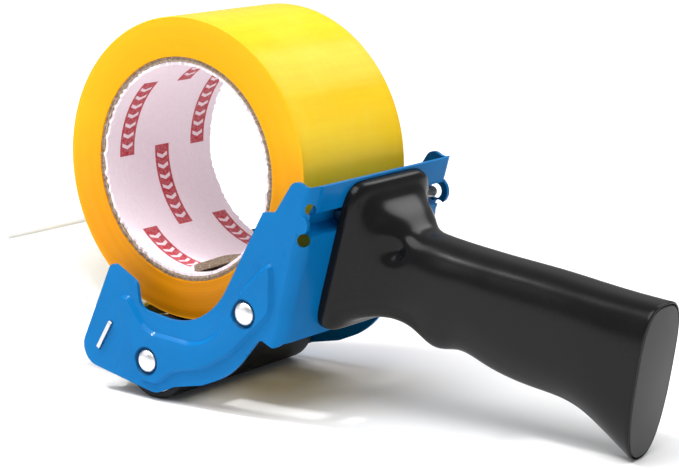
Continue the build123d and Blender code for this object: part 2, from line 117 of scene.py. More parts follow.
def grid_quads(rows, columns, rows_close=False, columns_close=False):
    """Quads between neighbouring points of a rows x columns grid, numbered row by row."""
    r = np.arange(rows if rows_close else rows - 1)
    c = np.arange(columns if columns_close else columns - 1)
    r, c = (x.ravel() for x in np.meshgrid(r, c, indexing="ij"))
    r1, c1 = (r + 1) % rows, (c + 1) % columns
    return np.stack([r * columns + c, r * columns + c1, r1 * columns + c1, r1 * columns + c], 1)


SEAM_GAP = 2e-7  # metres: points nearer than this are one point
NO_LENGTH = 1e-8  # metres: an edge shorter than this is none


def mesh_piece(name, points, quads, caps=(), smooth_angle=40.0, uv=None):
    """A mesh object from points, quads and a few larger faces, its seams and poles merged.

    uv, if given, holds two numbers for each point."""
    mesh = bpy.data.meshes.new(name)
    faces = quads.tolist() + [list(map(int, cap)) for cap in caps]
    mesh.from_pydata(np.asarray(points).tolist(), [], faces)
    if uv is not None:
        layer = mesh.uv_layers.new(name="UVMap")
        loops = np.empty(len(mesh.loops), np.int32)
        mesh.loops.foreach_get("vertex_index", loops)
        layer.data.foreach_set("uv", np.asarray(uv, np.float32)[loops].ravel())
    work = bmesh.new()
    work.from_mesh(mesh)
    bmesh.ops.remove_doubles(work, verts=work.verts, dist=SEAM_GAP)
    bmesh.ops.dissolve_degenerate(work, edges=work.edges, dist=NO_LENGTH)
    bmesh.ops.recalc_face_normals(work, faces=work.faces)
    work.to_mesh(mesh)
    work.free()
    return show_mesh(name, mesh, smooth_angle)


def stacked_piece(name, rings, smooth_angle=40.0, uv=None):
    """A closed piece from a stack of closed rings (n, m, 3): quads between them and a cap at each end."""
    count, size = rings.shape[:2]
    caps = [range(size), range((count - 1) * size, count * size)]
    quads = grid_quads(count, size, False, True)
    return mesh_piece(name, rings.reshape(-1, 3), quads, caps, smooth_angle, uv)


def show_mesh(name, mesh, smooth_angle):
    """Links a mesh as an object, smooth except over edges sharper than smooth_angle degrees."""
    mesh.polygons.foreach_set("use_smooth", np.ones(len(mesh.polygons), bool))
    mesh.set_sharp_from_angle(angle=math.radians(smooth_angle))
    piece = bpy.data.objects.new(name, mesh)
    bpy.context.scene.collection.objects.link(piece)
    return piece


def finish_piece(piece, body, slot, finish, *replaced):
    """Gives a piece its material, the body it rides on and the nodes it stands for, which it hides; slot is
    not used.
    """
    piece.data.materials.append(finish)
    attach(piece, body)
    if replaced:
        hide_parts(*replaced)
    return piece


def arc(centre, radius, start, end, count):
    """Points of an arc from start to end degrees."""
    turn = np.radians(np.linspace(start, end, count))
    return np.stack([centre[0] + radius * np.cos(turn), centre[1] + radius * np.sin(turn)], 1)


def ring_profile(inner, outer, half, rounding, steps=5):
    """Closed half-section of a ring with rounded corners: columns are radius and place along the axis."""
    in_at, out_at, side_at = inner + rounding, outer - rounding, half - rounding
    corners = ((out_at, side_at), (in_at, side_at), (in_at, -side_at), (out_at, -side_at))
    quarters = [arc(corner, rounding, 90 * k, 90 * (k + 1), steps) for k, corner in enumerate(corners)]
    return np.concatenate(quarters)


def revolve(name, profile, axis_at, turns, closed=True, shape=None):
    """A profile of (radius, y) in mm turned about an axis along Y through axis_at.

    shape(angle, radius, y) may change radius and y before they are placed."""
    angle = np.linspace(0, 2 * np.pi, turns, endpoint=False)[:, None]
    radius, across = profile.T
    if shape:
        radius, across = shape(angle, radius, across)
    points = round_axis(axis_at, angle, radius, across).reshape(-1, 3)
    return mesh_piece(name, points, grid_quads(turns, len(profile), True, closed))


def waves(angle, seed, low, high, count=12):
    """A gentle irregular closed wave of about unit height: sines of whole numbers of waves per turn."""
    rng = np.random.default_rng(seed)
    numbers = rng.integers(low, high, count)
    phases = rng.uniform(0, 2 * np.pi, count)
    total = sum(np.sin(number * angle + phase) for number, phase in zip(numbers, phases))
    return total / math.sqrt(count / 2)


def spline(keys, values, where):
    """A natural cubic spline through rows of values at keys, worked out at where.

    Its second derivatives at the keys solve the usual three-diagonal system, and are 0 at both ends."""
    keys, values, where = (np.asarray(item, float) for item in (keys, values, where))
    gaps = np.diff(keys)
    slopes = np.diff(values, axis=0) / gaps[:, None]
    inner = np.arange(1, len(keys) - 1)
    system, right = np.eye(len(keys)), np.zeros_like(values)
    system[inner, inner - 1] = gaps[:-1]
    system[inner, inner] = 2 * (gaps[:-1] + gaps[1:])
    system[inner, inner + 1] = gaps[1:]
    right[1:-1] = 6 * (slopes[1:] - slopes[:-1])
    bends = np.linalg.solve(system, right)
    k = np.clip(np.searchsorted(keys, where) - 1, 0, len(keys) - 2)
    left, step, gap = (item[:, None] for item in (keys[k + 1] - where, where - keys[k], gaps[k]))
    curve = (bends[k] * left**3 + bends[k + 1] * step**3) / (6 * gap)
    curve += (values[k] / gap - bends[k] * gap / 6) * left
    return curve + (values[k + 1] / gap - bends[k + 1] * gap / 6) * step


def add(tree, kind, settings=None, **inputs):
    """Adds a shader node; settings are its own properties, inputs the values or links of its sockets.

    A socket goes by its label, with _ for a space, or by its number after an i."""
    node = tree.nodes.new("ShaderNode" + kind)
    for key, value in (settings or {}).items():
        setattr(node, key, value)
    for key, value in inputs.items():
        numbered = key[0] == "i" and key[1:].isdigit()
        socket = node.inputs[int(key[1:]) if numbered else key.replace("_", " ")]
        if isinstance(value, bpy.types.NodeSocket):
            tree.links.new(value, socket)
        else:
            socket.default_value = value
    return node


def maths(tree, operation, *values):
    """A Math node's result."""
    inputs = {f"i{k}": value for k, value in enumerate(values)}
    return add(tree, "Math", {"operation": operation}, **inputs).outputs[0]


def product(tree, first, *others):
    """Values or masks multiplied together."""
    for other in others:
        first = maths(tree, "MULTIPLY", first, other)
    return first


def larger(tree, first, second):
    """The larger of two masks, where the first may still be missing."""
    return second if first is None else maths(tree, "MAXIMUM", first, second)


def apart(tree, value, place):
    """How far a value is from a place, either way."""
    return maths(tree, "ABSOLUTE", maths(tree, "SUBTRACT", value, place))


def under(tree, value, limit):
    """1 where a value is less than a limit, else 0."""
    return maths(tree, "LESS_THAN", value, limit)


def remap(tree, value, low, high, to_low=0.0, to_high=1.0):
    """Value moved from one range to another, clamped."""
    inputs = dict(Value=value, From_Min=low, From_Max=high, To_Min=to_low, To_Max=to_high)
    return add(tree, "MapRange", **inputs).outputs[0]


def blend_colours(tree, factor, first, second):
    """First colour where factor is 0, second where it is 1."""
    node = add(tree, "Mix", {"data_type": "RGBA"}, i0=factor, i6=first, i7=second)
    return node.outputs[2]


def noise(tree, place, scale, detail=3.0, roughness=0.5):
    """A noise value from 0 to 1."""
    node = add(tree, "TexNoise", Vector=place, Scale=scale, Detail=detail, Roughness=roughness)
    return node.outputs[0]


def new_group(name, **inputs):
    """A shader node group with number inputs and their defaults; finish_group() adds what it puts out."""
    group = bpy.data.node_groups.new(name, "ShaderNodeTree")
    for label, default in inputs.items():
        socket = group.interface.new_socket(label, in_out="INPUT", socket_type="NodeSocketFloat")
        socket.default_value = default
    place = add(group, "TexCoord").outputs["Object"]
    return group, group.nodes.new("NodeGroupInput").outputs, place


def finish_group(group, source, height, rough, patches):
    """Gives a group its outputs: a bump as deep as its Depth, a roughness, and patches for the colour."""
    bump = add(group, "Bump", Strength=1.0, Distance=source["Depth"], Height=height)
    for label, kind in (("Normal", "Vector"), ("Roughness", "Float"), ("Patches", "Float")):
        group.interface.new_socket(label, in_out="OUTPUT", socket_type=f"NodeSocket{kind}")
    sink = group.nodes.new("NodeGroupOutput").inputs
    for k, value in enumerate((bump.outputs[0], rough, patches)):
        group.links.new(value, sink[k])


def moulded_skin_group():
    """Fine uneven surface for paint, plastic, paper and rubber.

    Grain is the scale of its marks, Depth their height, Rough and Spread the roughness and its play."""
    group, source, place = new_group("moulded skin", Grain=900.0, Depth=0.00001, Rough=0.4, Spread=0.08)
    fine = noise(group, place, source["Grain"], 4.0, 0.6)
    patches = noise(group, place, 45.0, 4.0, 0.6)
    play = product(group, maths(group, "SUBTRACT", patches, 0.5), source["Spread"], 4.0)
    finish_group(group, source, fine, maths(group, "ADD", source["Rough"], play), patches)


def drawn_metal_group():
    """Bright metal with faint lines along Y from drawing and rolling."""
    group, source, place = new_group("drawn metal", Lines=4000.0, Depth=0.000004, Rough=0.25)
    flat = add(group, "Mapping", Vector=place, Scale=(1.0, 0.02, 1.0)).outputs[0]
    lines = noise(group, flat, source["Lines"], 2.0, 0.5)
    spots = noise(group, place, 260.0, 3.0, 0.6)
    rough = maths(group, "ADD", source["Rough"], remap(group, spots, 0.3, 0.7, -0.05, 0.1))
    finish_group(group, source, lines, rough, spots)


def material(name, **values):
    """A material with one Principled shader, given its plain values; returns it, its tree and the shader."""
    made = bpy.data.materials.new(name)
    made.use_nodes = True
    tree = made.node_tree
    shader = tree.nodes["Principled BSDF"]
    for key, value in values.items():
        shader.inputs[key.replace("_", " ")].default_value = value
    return made, tree, shader


def grained(tree, shader, group, **values):
    """Places a shared group, feeds the shader's normal and roughness from it and returns its patches."""
    node = add(tree, "Group", {"node_tree": bpy.data.node_groups[group]}, **values)
    for key in ("Normal", "Roughness"):
        tree.links.new(node.outputs[key], shader.inputs[key])
    return node.outputs["Patches"]


def shade(colour, factor):
    """A colour made darker or lighter, with its alpha."""
    return [min(1.0, part * factor) for part in colour[:3]] + [1.0]


def played(tree, value, colour, share):
    """A colour that goes from darker to lighter by a share of itself as a noise value grows."""
    dark, light = shade(colour, 1 - share), shade(colour, 1 + share)
    return blend_colours(tree, remap(tree, value, 0.3, 0.7), dark, light)


def mottled(tree, shader, patches, colour, share):
    """Base colour that plays a little lighter and darker with the patches."""
    tree.links.new(played(tree, patches, colour, share), shader.inputs["Base Color"])


def surface(tree, shader, colour, height, strength, depth, wear, low_rough, high_rough):
    """Feeds a shader its base colour, a bump from height, and a roughness that grows with wear."""
    bump = add(tree, "Bump", Strength=strength, Distance=depth, Height=height)
    tree.links.new(colour, shader.inputs["Base Color"])
    tree.links.new(bump.outputs[0], shader.inputs["Normal"])
    tree.links.new(remap(tree, wear, 0.3, 0.7, low_rough, high_rough), shader.inputs["Roughness"])


def blue_paint(colour):
    """Glossy powder paint on pressed sheet, with a soft orange peel.

    It is painted darker in the recesses round the axles and on the inner faces of the side plates:
    painted shade, standing in for the shade that falls there."""
    gloss = dict(Coat_Weight=0.1, Coat_Roughness=0.1, Specular_IOR_Level=0.04)
    made, tree, shader = material("blue gloss paint", **gloss)
    patches = grained(tree, shader, "moulded skin", Grain=420.0, Depth=0.00002, Rough=0.3, Spread=0.05)
    plain = played(tree, patches, colour, 0.05)
    place = add(tree, "TexCoord").outputs["Object"]
    # painted shade: a dark ring in the recess round each axle, just outside the rivet head
    recess_shade = None
    for centre in (FRONT, REAR):
        origin = (-centre.x, 0.0, -centre.z)
        around = add(tree, "Mapping", Vector=place, Location=origin, Scale=(1, 0, 1)).outputs[0]
        away = add(tree, "VectorMath", {"operation": "LENGTH"}, i0=around).outputs["Value"]
        near = remap(tree, away, (DIMPLE_R + 0.3) * MM, (DIMPLE_R - 0.5) * MM)
        recess_shade = larger(tree, recess_shade, near)
    # the paint with the painted shade ring round each axle blended in
    ringed = blend_colours(tree, product(tree, recess_shade, 0.75), plain, shade(colour, 0.12))
    # painted shade on the inner faces of the side plates, which face across the object
    across = maths(tree, "ABSOLUTE", add(tree, "SeparateXYZ", Vector=place).outputs[1])
    inside = remap(tree, across, PLATE_INSIDE + 0.3 * MM, PLATE_INSIDE + 0.05 * MM)
    normal = add(tree, "NewGeometry").outputs["Normal"]
    facing = maths(tree, "ABSOLUTE", add(tree, "SeparateXYZ", Vector=normal).outputs[1])
    inner = product(tree, inside, remap(tree, facing, 0.8, 0.95), 0.7)
    painted_shade_colour = blend_colours(tree, inner, ringed, shade(colour, 0.3))
    tree.links.new(painted_shade_colour, shader.inputs["Base Color"])
    return made


def plated_steel(name, rough, colour):
    """Zinc-plated steel, a little cloudy."""
    made, tree, shader = material(name, Metallic=1.0)
    patches = grained(tree, shader, "drawn metal", Lines=3500.0, Depth=0.000003, Rough=rough)
    mottled(tree, shader, patches, colour, 0.08)
    return made


def fine_grain(name, colour, rough, grain=900.0, depth=0.00001, spread=0.06, share=0.12, **values):
    """Plastic, rubber, paper or board with a fine grain, its colour playing by a share of itself."""
    made, tree, shader = material(name, **values)
    patches = grained(tree, shader, "moulded skin", Grain=grain, Depth=depth, Rough=rough, Spread=spread)
    mottled(tree, shader, patches, colour, share)
    return made


def about_roll(tree):
    """Object coordinates taken from the roll's axis, whole and as X, Y and Z."""
    place = add(tree, "TexCoord").outputs["Object"]
    origin = (-ROLL.x, 0.0, -ROLL.z)
    centred = add(tree, "Mapping", Vector=place, Location=origin).outputs[0]
    return centred, add(tree, "SeparateXYZ", Vector=centred).outputs


def from_axis(tree, parts):
    """Distance from the roll's axis in metres: the root of X squared and Z squared."""
    squares = [maths(tree, "POWER", parts[k], 2.0) for k in (0, 2)]
    return maths(tree, "SQRT", maths(tree, "ADD", *squares))


def ring_noise(tree, radius, *sizes):
    """Noise that changes only with the distance from the axis, so it draws rings."""
    return noise(tree, add(tree, "CombineXYZ", X=radius).outputs[0], *sizes)


def tape_side(colour):
    """Edges of hundreds of layers of clear film: amber, lighter near the rim, with fine rings, and painted
    shade that darkens it towards the bottom of the roll.
    """
    glow = dict(Subsurface_Weight=0.25, Subsurface_Scale=0.004, Subsurface_Radius=(1.0, 0.55, 0.05))
    made, tree, shader = material("tape layer edges", Specular_IOR_Level=0.12, **glow)
    _, parts = about_roll(tree)
    radius = from_axis(tree, parts)
    rings = ring_noise(tree, radius, 5200.0, 3.0, 0.7)
    bands = ring_noise(tree, radius, 420.0, 2.0, 0.5)
    rim = remap(tree, radius, (TAPE_R - 1.6) * MM, TAPE_R * MM)
    deep = [colour[0] * 0.55, colour[1] * 0.42, colour[2], 1.0]
    bright = [1.0, min(1.0, colour[1] * 1.3), 0.01, 1.0]
    outward = remap(tree, radius, CORE_R * MM, (TAPE_R - 1) * MM)
    body = blend_colours(tree, remap(tree, outward, 0.0, 1.0, 0.0, 0.55), shade(colour, 0.97), bright)
    # painted shade: the side is blended towards the deep colour towards the bottom of the roll
    lower_shade = remap(tree, parts[2], TAPE_R * MM * 0.3, -TAPE_R * MM * 0.95)
    body = blend_colours(tree, product(tree, lower_shade, 0.9), body, deep)
    banded = blend_colours(tree, remap(tree, bands, 0.35, 0.75, 0.0, 0.12), body, bright)
    ringed = blend_colours(tree, remap(tree, rings, 0.4, 0.7, 0.0, 0.1), banded, deep)
    edged = blend_colours(tree, product(tree, rim, 0.45), ringed, bright)
    surface(tree, shader, edged, rings, 0.35, 0.00003, bands, 0.36, 0.5)
    return made


def tape_outside(colour):
    """The outermost turns of film: glossy and see-through, with faint streaks and trapped air across."""
    gloss = dict(Coat_Weight=0.04, Coat_Roughness=0.08, Specular_IOR_Level=0.06)
    glow = dict(Subsurface_Weight=0.2, Subsurface_Scale=0.004, Subsurface_Radius=(1.0, 0.6, 0.06))
    made, tree, shader = material("tape outer turns", **gloss, **glow)
    centred, parts = about_roll(tree)
    long_way = add(tree, "Mapping", Vector=centred, Scale=(1.0, 0.06, 1.0)).outputs[0]
    streaks = noise(tree, long_way, 190.0, 5.0, 0.65)
    cross = add(tree, "Mapping", Vector=centred, Scale=(0.25, 1.0, 0.25)).outputs[0]
    tracks = noise(tree, cross, 330.0, 3.0, 0.55)
    clouds = noise(tree, centred, 28.0, 3.0, 0.55)
    edge = remap(tree, maths(tree, "ABSOLUTE", parts[1]), (TAPE_HALF - 4) * MM, TAPE_HALF * MM)
    pale = [min(1.0, colour[0] * 1.06), min(1.0, colour[1] * 1.15), colour[2] + 0.06, 1.0]
    deep = [colour[0] * 0.93, colour[1] * 0.74, colour[2] * 0.5, 1.0]
    base = blend_colours(tree, remap(tree, streaks, 0.35, 0.7, 0.0, 0.5), shade(colour, 1), deep)
    base = blend_colours(tree, remap(tree, clouds, 0.4, 0.7, 0.0, 0.4), base, pale)
    base = blend_colours(tree, remap(tree, tracks, 0.5, 0.8, 0.0, 0.25), base, pale)
    base = blend_colours(tree, product(tree, edge, 0.4), base, deep)
    surface(tree, shader, base, tracks, 0.4, 0.00004, streaks, 0.16, 0.3)
    return made


def grey_board():
    """Rough grey-brown board of the core, with fibres and darker plies."""
    made, tree, shader = material("core board", Specular_IOR_Level=0.2)
    centred, parts = about_roll(tree)
    plies = ring_noise(tree, from_axis(tree, parts), 1400.0, 2.0, 0.6)
    fibres = noise(tree, centred, 1600.0, 5.0, 0.7)
    brown, grey, fuzz = (0.13, 0.08, 0.045, 1.0), (0.36, 0.27, 0.2, 1.0), (0.7, 0.64, 0.6, 1.0)
    mixed = blend_colours(tree, remap(tree, plies, 0.35, 0.65), brown, grey)
    fuzzy = blend_colours(tree, remap(tree, fibres, 0.52, 0.72, 0.0, 0.6), mixed, fuzz)
    surface(tree, shader, fuzzy, fibres, 1.0, 0.0002, fibres, 0.75, 0.95)
    return made


BAR_PITCH = 92.5  # degrees round the core from one bar to the next of the same row
BAR_SHARE = 0.53  # share of that pitch which the bar takes
BAR_ROWS = ((-18.5, 131.0), (1.0, 84.5), (21.5, 131.0))  # mm across, and degrees where a bar starts
BAR_HALF = 3.9  # mm
BAR_RIM = 1.1  # mm left red along a bar's sides
BAR_TIP = 0.022  # share of the pitch left red at each end of a bar
CHEVRONS = 15.0  # chevrons in one pitch
CHEVRON_SLANT = 0.1  # how far a chevron's arm runs on, in chevrons per mm across
CHEVRON_SHARE = 0.34  # share of a chevron that is white
SEAM_AT = -72.0  # degrees, where the lining's two ends meet


def printed_paper(paper, ink):
    """Pinkish lining paper with a generic print: rows of red bars, each holding white chevrons."""
    made, tree, shader = material("printed lining paper", Specular_IOR_Level=0.25)
    uv = add(tree, "UVMap", {"uv_map": "UVMap"}).outputs[0]
    parts = add(tree, "SeparateXYZ", Vector=uv).outputs
    place = add(tree, "TexCoord").outputs["Object"]
    degrees = maths(tree, "MULTIPLY_ADD", parts[0], 360.0, SEAM_AT)
    red, white = None, None
    for row, first in BAR_ROWS:
        passed = maths(tree, "SUBTRACT", degrees, first - 4 * BAR_PITCH)
        run = maths(tree, "FRACT", maths(tree, "DIVIDE", passed, BAR_PITCH))
        off = apart(tree, parts[1], row)
        inside = product(tree, under(tree, run, BAR_SHARE), under(tree, off, BAR_HALF))
        slant = maths(tree, "MULTIPLY_ADD", off, CHEVRON_SLANT, product(tree, run, CHEVRONS))
        stroke = under(tree, maths(tree, "FRACT", slant), CHEVRON_SHARE)
        narrow = under(tree, off, BAR_HALF - BAR_RIM)
        ends = under(tree, apart(tree, run, BAR_SHARE / 2), BAR_SHARE / 2 - BAR_TIP)
        red = larger(tree, red, inside)
        white = larger(tree, white, product(tree, stroke, narrow, ends, inside))
    fibre = noise(tree, place, 700.0, 4.0, 0.6)
    sheet = blend_colours(tree, remap(tree, fibre, 0.3, 0.7), shade(paper, 0.93), shade(paper, 1))
    wet = product(tree, red, remap(tree, noise(tree, place, 900.0, 3.0), 0.3, 0.7, 0.82, 1.0))
    inked = blend_colours(tree, wet, sheet, shade(ink, 1))
    printed = blend_colours(tree, product(tree, white, 0.9), inked, sheet)
    surface(tree, shader, printed, fibre, 0.5, 0.00004, fibre, 0.5, 0.7)
    return made


def colour_property(label, text, default):
    """A colour setting."""
    limits = dict(size=3, min=0.0, max=1.0, default=default)
    return FloatVectorProperty(name=label, description=text, subtype="COLOR", **limits)


def length_property(label, text, default):
    """A length setting, in metres."""
    kind = dict(subtype="DISTANCE", unit="LENGTH")
    return FloatProperty(name=label, description=text, default=default, **kind)


class FrameSettings(bpy.types.PropertyGroup):
    """Finish of the pressed steel frame and of what is fixed to it."""

    paint: colour_property("Paint", "Colour of the frame's paint", (0.001, 0.15, 0.415))
    edge: length_property("Edge rounding", "Radius left by pressing and paint on the sheet's edges", 0.0004)
    rubber: colour_property("Rubber", "Colour of the front roller", (0.006, 0.0065, 0.008))


class HandleSettings(bpy.types.PropertyGroup):
    """Finish of the moulded handle."""

    plastic: colour_property("Plastic", "Colour of the handle's moulding", (0.0055, 0.0055, 0.006))
    cap: colour_property("End cap", "Colour of the cap in the handle's end", (0.055, 0.055, 0.056))
    gloss: FloatProperty(name="Roughness", description="Roughness of the handle", default=0.24, min=0, max=1)
    rings: IntProperty(name="Rings", description="Cross-sections along the handle", default=150, min=80)


class TapeSettings(bpy.types.PropertyGroup):
    """Finish of the roll of tape."""

    side: colour_property("Side", "Colour of the layers' edges", (0.9, 0.37, 0.0))
    outside: colour_property("Outside", "Colour of the outer turns", (0.92, 0.62, 0.02))
    paper: colour_property("Paper", "Colour of the core's lining", (0.86, 0.76, 0.81))
    ink: colour_property("Ink", "Colour of the lining's print", (0.42, 0.006, 0.02))


class StageSettings(bpy.types.PropertyGroup):
    """Floor and lights."""

    floor: colour_property("Floor", "Colour of the floor", (0.93, 0.93, 0.935))
    sky: FloatProperty(name="Surround", description="Light that the surround gives", default=0.35, min=0)
    key: FloatProperty(name="Key light", description="Strength of the light above", default=2.75, min=0)


SETTINGS = {
    "dispenser_frame": FrameSettings,
    "dispenser_handle": HandleSettings,
    "dispenser_tape": TapeSettings,
    "dispenser_stage": StageSettings,
}


def cad_copy(name, node, width):
    """A merged copy of a CAD node with flat faces joined and its sharp edges rounded over."""
    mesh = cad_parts[node].data.copy()
    mesh.name = name
    mesh.materials.clear()
    work = bmesh.new()
    work.from_mesh(mesh)
    bmesh.ops.remove_doubles(work, verts=work.verts, dist=2e-6)
    bmesh.ops.dissolve_degenerate(work, edges=work.edges, dist=1e-6)
    bmesh.ops.dissolve_limit(work, angle_limit=math.radians(0.4), verts=work.verts, edges=work.edges)
    work.to_mesh(mesh)
    work.free()
    piece = show_mesh(name, mesh, 30.0)
    bevel = piece.modifiers.new("round edges", "BEVEL")
    bevel.width = width
    bevel.segments = 3
    bevel.limit_method = "ANGLE"
    bevel.angle_limit = math.radians(28.0)
    bevel.harden_normals = True
    return piece


class DISPENSER_OT_frame(bpy.types.Operator):
    """Builds the painted steel frame with rounded sheet edges"""

    bl_idname = "dispenser.frame"
    bl_label = "Frame"

    def execute(self, context):
        settings = context.scene.dispenser_frame
        piece = cad_copy("pressed_frame", "frame", settings.edge)
        finish_piece(piece, "frame", "blue_paint", blue_paint(settings.paint), "frame")
        return {"FINISHED"}


HEAD_R = 4.2
HEAD_HEIGHT = 1.9
# A rivet head's outline from its middle to its edge, in shares of its radius and height.
DOME_OUT = (0.0, 0.2, 0.4, 0.58, 0.74, 0.87, 0.96, 1.0)
DOME_UP = (1.0, 0.985, 0.93, 0.84, 0.71, 0.53, 0.34, 0.2)
PIN_END = 0.6  # mm that the lock pin's ends are rounded over


def axle_profile(radius, seat):
    """Half-section of a riveted axle: a low dome, its crisp edge, the shank, and the same again."""
    dome = np.stack([DOME_OUT, DOME_UP], 1) * (HEAD_R, HEAD_HEIGHT) + (0.0, seat)
    edge = [(HEAD_R, seat + 0.05), (HEAD_R - 0.15, seat), (radius, seat)]
    half = np.concatenate([dome, edge])
    return np.concatenate([half, half[::-1] * (1, -1)])


class DISPENSER_OT_fasteners(bpy.types.Operator):
    """Builds the two riveted axles, the lock pin and the plated small parts"""

    bl_idname = "dispenser.fasteners"
    bl_label = "Axles and pins"

    def execute(self, context):
        bright = plated_steel("bright zinc", 0.36, (0.86, 0.87, 0.89))
        satin = plated_steel("satin zinc", 0.34, (0.62, 0.63, 0.65))
        for node, centre, radius in (("front_axle", FRONT, 3.0), ("rear_axle", REAR, 2.5)):
            seat = half_of(node) - HEAD_HEIGHT
            piece = revolve(f"riveted_{node}", axle_profile(radius, seat), centre, 96, False)
            finish_piece(piece, "frame", "zinc", bright, node)
        low, high = (corner.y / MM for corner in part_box("handle_lock_pin"))
        radius = radius_of("handle_lock_pin", PIN)
        rounded = [(radius - PIN_END, 0), (radius - PIN_END / 3, PIN_END / 4), (radius, PIN_END)]
        end = np.array([(0, 0), *rounded])
        profile = np.concatenate([end * (1, -1) + (0, high), end[::-1] + (0, low)])
        piece = revolve("steel_lock_pin", profile, PIN, 64, False)
        dark = plated_steel("pin steel", 0.3, (0.26, 0.24, 0.22))
        finish_piece(piece, "frame", "zinc", dark, "handle_lock_pin")
        bracket = cad_copy("nose_bracket", "blade_bracket", context.scene.dispenser_frame.edge)
        finish_piece(bracket, "frame", "zinc_plate", satin, "blade_bracket")
        for node in ("clamp_strip", "bracket_rivets", "handle_screws"):
            assign(node, satin)
        assign("cutting_blade", plated_steel("blade steel", 0.3, (0.55, 0.56, 0.58)))
        return {"FINISHED"}


def assign(node, finish):
    """Gives a CAD node another material."""
    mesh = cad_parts[node].data
    mesh.materials.clear()
    mesh.materials.append(finish)


TUBE_BORE_R = 2.55  # the rear tube's bore, round its axle


class DISPENSER_OT_rollers(bpy.types.Operator):
    """Builds the rubber roller at the nose and the thin tube under the back of the roll"""

    bl_idname = "dispenser.rollers"
    bl_label = "Rollers"

    def execute(self, context):
        colour = context.scene.dispenser_frame.rubber
        rubber = fine_grain("roller rubber", colour, 0.5, 700.0, 0.00003, Specular_IOR_Level=0.2)
        inner, half = radius_of("front_roller_core", FRONT), half_of("front_roller_sleeve")
        piece = revolve("rubber_roller", ring_profile(inner, ROLLER_R, half, 0.6), FRONT, 128)
        finish_piece(piece, "front_roller", "roller_rubber", rubber, "front_roller_sleeve")
        outer, half = radius_of("rear_roller", REAR), half_of("rear_roller")
        tube = revolve("rear_tube", ring_profile(TUBE_BORE_R, outer, half, 0.2, 3), REAR, 64)
        steel = plated_steel("tube steel", 0.3, (0.6, 0.61, 0.63))
        finish_piece(tube, "rear_roller", "zinc_tube", steel, "rear_roller")
        white = fine_grain("white nylon", (0.75, 0.75, 0.72), 0.45, Subsurface_Weight=0.1)
        assign("front_roller_bushes", white)
        assign("front_spacers", white)
        assign("front_roller_core", fine_grain("dark roller tube", (0.03, 0.03, 0.032), 0.5))
        return {"FINISHED"}


# Side view of the flap, in mm about the roll's axis.
FLAP_HINGE = (-30.7, -57.9)
BEAD = (-86.9, -34.2)
BEAD_R = 1.8
BEAD_OVERLAP = 0.35  # the sheet runs this far into the bead
FLAP_HALF = 36.0
FLAP_THICK = 0.8
BRACKET_AT = np.array((-30.25, -63.5))
BRACKET_LEAN = math.radians(58.1)
BRACKET_DOWN = -np.array((math.cos(BRACKET_LEAN), math.sin(BRACKET_LEAN)))
BRACKET_OUT = BRACKET_DOWN[::-1] * (1, -1)
BRACKET_HALF = 0.75  # half the bracket's thickness
FOOT_DOWN = (4.5, 1.0, -1.8)  # mm down the bracket of points along the clamped foot
FOOT_LEAVES = (-2.9, 0.25)  # where it leaves the bracket: mm down, and mm further out
BEND_CORNER = 2.2  # mm behind the hinge of the corner that the bend rounds


def on_bracket(u, m):
    """Point u mm down the nose bracket and m mm out of its front."""
    return BRACKET_AT + u * BRACKET_DOWN + m * BRACKET_OUT


def ribbon(middle_line, thickness):
    """Closed outline of a strip about a line: one side out, the other back."""
    line = np.asarray(middle_line, float)
    along = np.gradient(line, axis=0)
    along /= np.linalg.norm(along, axis=1)[:, None]
    out = np.stack([-along[:, 1], along[:, 0]], 1) * thickness / 2
    return np.concatenate([line + out, (line - out)[::-1]])


def across_strip(name, outline, half):
    """A closed side-view outline carried straight across the object from -half to half mm, ends closed."""
    stations = [-half, -half + 0.15, *np.linspace(-half + 2, half - 2, 15), half - 0.15, half]
    return stacked_piece(name, np.array([at(outline, y) for y in stations]))


class DISPENSER_OT_flap(bpy.types.Operator):
    """Builds the clear wiper flap: clamped foot, bend and sheet in one, and the bead at its free edge"""

    bl_idname = "dispenser.flap"
    bl_label = "Wiper flap"

    def execute(self, context):
        face = BRACKET_HALF + FLAP_THICK / 2
        foot = [on_bracket(down, face) for down in FOOT_DOWN]
        bend_from = on_bracket(FOOT_LEAVES[0], face + FOOT_LEAVES[1])
        hinge, bead = np.array(FLAP_HINGE), np.array(BEAD)
        length = np.linalg.norm(bead - hinge)
        out = (bead - hinge) / length
        corner = hinge - out * BEND_CORNER
        t = np.linspace(0, 1, 9)[:, None]
        curve = (1 - t) ** 2 * bend_from + 2 * t * (1 - t) * corner + t**2 * hinge
        sheet = hinge + out * np.linspace(0.4, length - BEAD_R + BEAD_OVERLAP, 44)[:, None]
        line = np.concatenate([foot, curve, sheet])
        outline = ribbon(line, FLAP_THICK)
        half = len(line)
        heading = math.degrees(math.atan2(-out[1], -out[0]))
        open_by = math.degrees(math.asin(FLAP_THICK / 2 / BEAD_R))
        round_end = arc(bead, BEAD_R, heading - open_by, heading - 360 + open_by, 29)
        outline = np.concatenate([outline[:half], round_end, outline[half:]])
        piece = across_strip("clear_wiper_flap", outline, FLAP_HALF)
        clear = dict(Transmission_Weight=0.45, IOR=1.46, Specular_IOR_Level=0.4)
        look = ((0.9, 0.925, 0.965), 0.42, 1500.0, 0.000008, 0.08, 0.02)
        piece.data.materials.append(fine_grain("frosted clear plastic", *look, **clear))
        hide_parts("wiper_flap", "flap_foot")
        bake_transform(piece)
        return {"FINISHED"}


BACK_AT = (53.7, -54.6)  # foot of the back plate's rear face


def back(s, off=0.0):
    """Side-view point s mm up the back plate's rear face and off mm out of it."""
    a = BACK_AT[0] + s * math.sin(LEAN) + off * math.cos(LEAN)
    b = BACK_AT[1] + s * math.cos(LEAN) - off * math.sin(LEAN)
    return a, b


FLOOR = -ROLL.z / MM
